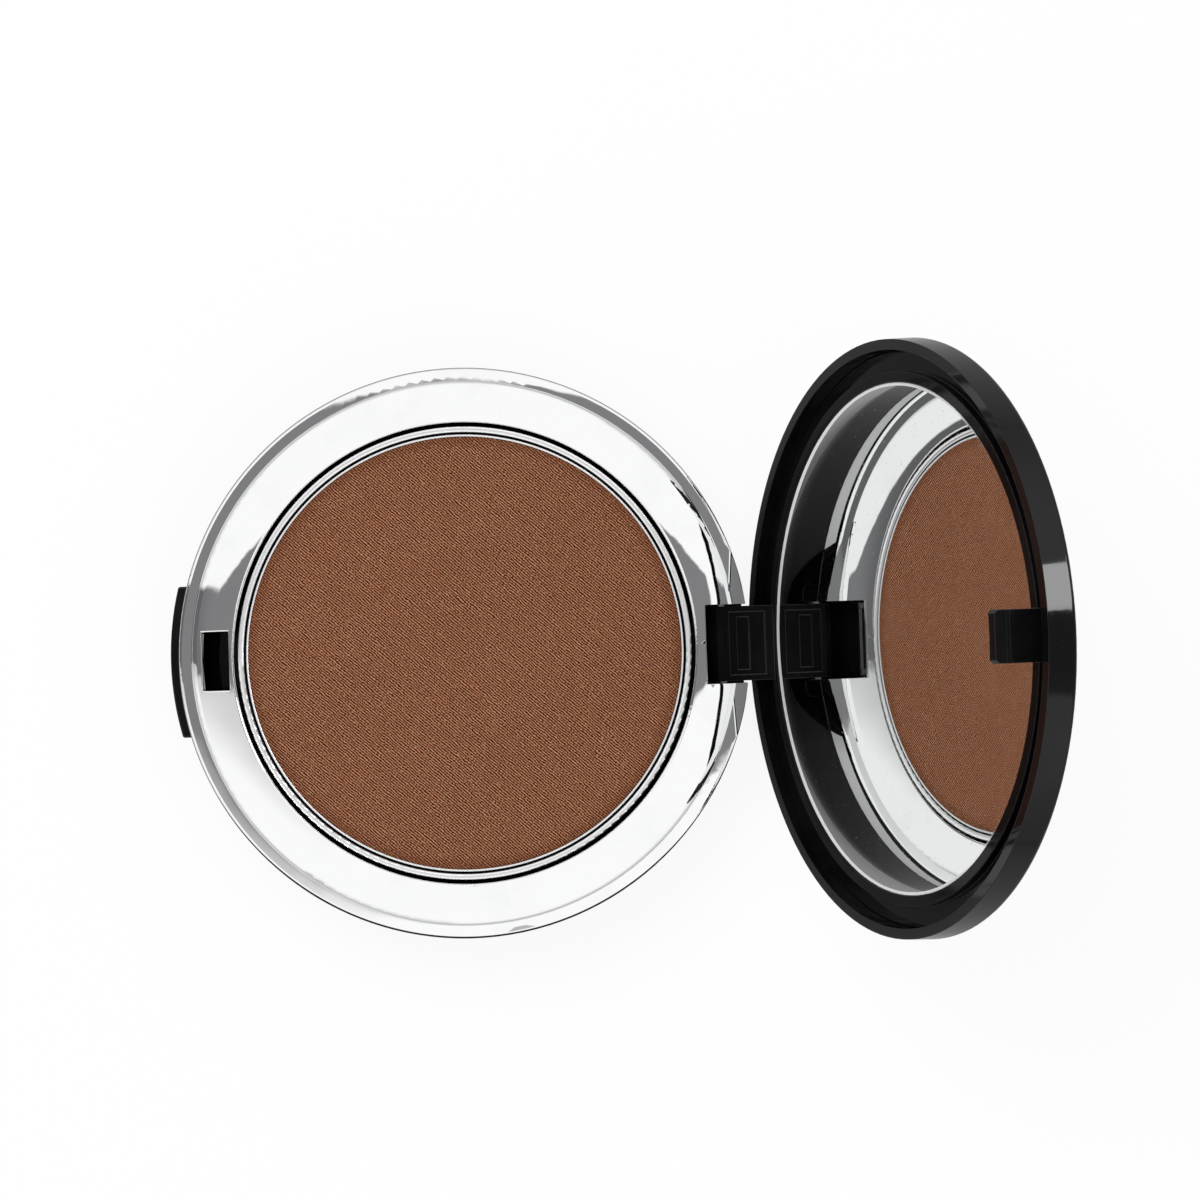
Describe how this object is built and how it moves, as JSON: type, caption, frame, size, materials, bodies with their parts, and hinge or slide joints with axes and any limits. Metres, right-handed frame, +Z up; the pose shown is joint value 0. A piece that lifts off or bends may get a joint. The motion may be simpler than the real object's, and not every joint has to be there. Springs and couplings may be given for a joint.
{
  "type": "powder compact",
  "caption": "Round powder compact with a hinged mirror lid, a metal pan of pressed powder in a bright deck, and a front push button that frees the lid's hook.",
  "frame": {"origin": "middle of the round underside of the base, on the surface it rests on", "axes": "+Z up out of the powder, +Y from the push button to the hinge, +X along the hinge pin to the right as seen from the button"},
  "size_m": [0.0768, 0.1103, 0.0727],
  "materials": {
    "black_gloss": "gloss",
    "black_button": "gloss",
    "black_inner": "gloss",
    "chrome_plating": "polished",
    "chrome_bead": "polished",
    "pan_aluminium": "satin",
    "powder_cake": "matte",
    "adhesive": "matte",
    "pin_steel": "satin",
    "spring_steel": "satin",
    "mirror_silver": "polished"
  },
  "bodies": {
    "base": {"base_shell": "black_gloss", "deck_ring": "chrome_plating", "pan_cup": "chrome_bead", "powder_pan": "pan_aluminium", "pressed_powder": "powder_cake", "pan_adhesive": "adhesive", "hinge_bracket": "black_gloss", "hinge_pin": "pin_steel", "button_spring_left": "spring_steel", "button_spring_right": "spring_steel"},
    "button": {"push_button": "black_button"},
    "lid": {"lid_shell": "black_gloss", "mirror_frame": "black_inner", "mirror_glass": "mirror_silver", "mirror_pad": "adhesive"}
  },
  "joints": [
    {"name": "lid_hinge", "type": "hinge", "parent": "base", "child": "lid", "pos_m": [0, 0.03494, 0.00691], "axis": [1, 0, 0], "range_deg": [0, 111.34]},
    {"name": "button_press", "type": "slide", "parent": "base", "child": "button", "axis": [0, 1, 0], "range_m": [0, 0.0007], "stiffness_N_per_m": 2000, "springref_m": -0.0003, "deforming": ["button_spring_left", "button_spring_right"]}
  ]
}
